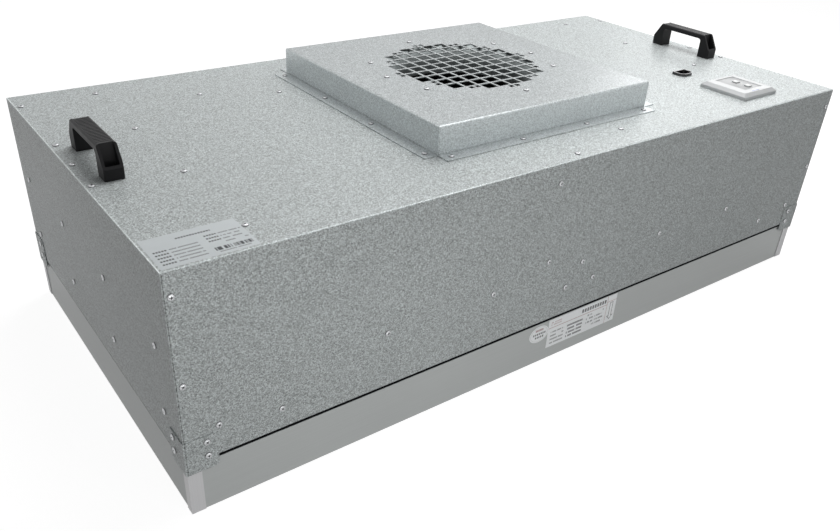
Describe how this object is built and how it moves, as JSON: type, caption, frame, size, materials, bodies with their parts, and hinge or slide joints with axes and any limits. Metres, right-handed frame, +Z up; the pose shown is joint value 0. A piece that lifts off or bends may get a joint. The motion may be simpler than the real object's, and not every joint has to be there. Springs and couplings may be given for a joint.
{
  "type": "fan filter unit",
  "caption": "Ceiling fan filter unit: galvanised steel housing with a square intake hood, punched grille, backward-curved fan, speed controller, carrying handles and framed HEPA filter.",
  "frame": {"origin": "centre of the filter's lower rim, the plane the unit rests on", "axes": "+X along the length, towards the end with the controller; -Y the long front side; +Z up, towards the intake"},
  "size_m": [1.1812, 0.5812, 0.3619],
  "materials": {
    "shell": "hot-dip galvanised sheet with a fine spangle",
    "hood": "hot-dip galvanised sheet with a fine spangle",
    "ring": "spun galvanised steel, bright",
    "inner_sheet": "galvanised sheet",
    "gasket": "black closed-cell seal",
    "filter_frame": "natural anodised",
    "filter_cap": "natural anodised",
    "filter_medium": "pleated glass-fibre paper",
    "filter_guard": "white powder coat",
    "bracket": "galvanised sheet",
    "handle": "black glass-filled nylon, fine grain",
    "controller_plate": "white moulded plastic",
    "controller_body": "black moulded plastic",
    "button": "white moulded plastic",
    "indicator": "blue translucent plastic",
    "inlet_body": "black thermoplastic",
    "inlet_pins": "nickel-plated",
    "motor_base": "die-cast",
    "stator_core": "laminated electrical steel",
    "windings": "enamelled copper wire",
    "bearing": "ground steel",
    "motor_shaft": "ground steel",
    "rotor_can": "black painted steel",
    "impeller": "mill-finish aluminium sheet",
    "capacitor": "drawn can",
    "screws": "bright zinc plate"
  },
  "bodies": {
    "unit": {"housing_shell": "shell", "end_panel_left": "shell", "end_panel_right": "shell", "intake_hood": "hood", "inlet_ring": "ring", "fan_deck": "inner_sheet", "air_guide_left": "inner_sheet", "air_guide_right": "inner_sheet", "seat_angle_front": "inner_sheet", "seat_angle_back": "inner_sheet", "seat_angle_left": "inner_sheet", "seat_angle_right": "inner_sheet", "gasket": "gasket", "filter_rail_front": "filter_frame", "filter_rail_back": "filter_frame", "filter_rail_left": "filter_frame", "filter_rail_right": "filter_frame", "filter_pack": "filter_medium", "filter_guard": "filter_guard", "filter_cap_front_left": "filter_cap", "filter_cap_front_right": "filter_cap", "filter_cap_back_left": "filter_cap", "filter_cap_back_right": "filter_cap", "bracket_front_left": "bracket", "bracket_front_right": "bracket", "bracket_back_left": "bracket", "bracket_back_right": "bracket", "handle_left": "handle", "handle_right": "handle", "controller_plate": "controller_plate", "controller_body": "controller_body", "indicator_lens": "indicator", "power_inlet": "inlet_body", "inlet_pins": "inlet_pins", "motor_support": "inner_sheet", "motor_base": "motor_base", "stator_core": "stator_core", "stator_windings": "windings", "bearing_lower": "bearing", "bearing_upper": "bearing", "capacitor_bracket": "inner_sheet", "run_capacitor": "capacitor", "shell_screws": "screws", "end_screws": "screws", "hood_screws": "screws", "bracket_screws": "screws", "handle_screws": "screws", "motor_screws": "screws"},
    "rotor": {"motor_shaft": "motor_shaft", "rotor_can": "rotor_can", "impeller_wheel": "impeller", "impeller_shroud": "impeller", "impeller_screws": "screws"},
    "button_back": {"button_back": "button"},
    "button_front": {"button_front": "button"}
  },
  "joints": [
    {"name": "impeller_spin", "type": "hinge", "parent": "unit", "child": "rotor", "pos_m": [0.016, 0.01, 0.21], "axis": [0, 0, 1], "continuous": true},
    {"name": "button_back_press", "type": "slide", "parent": "unit", "child": "button_back", "axis": [0, 0, -1], "range_m": [0, 0.001], "stiffness_N_per_m": 700, "springref_m": -0.001},
    {"name": "button_front_press", "type": "slide", "parent": "unit", "child": "button_front", "axis": [0, 0, -1], "range_m": [0, 0.001], "stiffness_N_per_m": 700, "springref_m": -0.001}
  ]
}
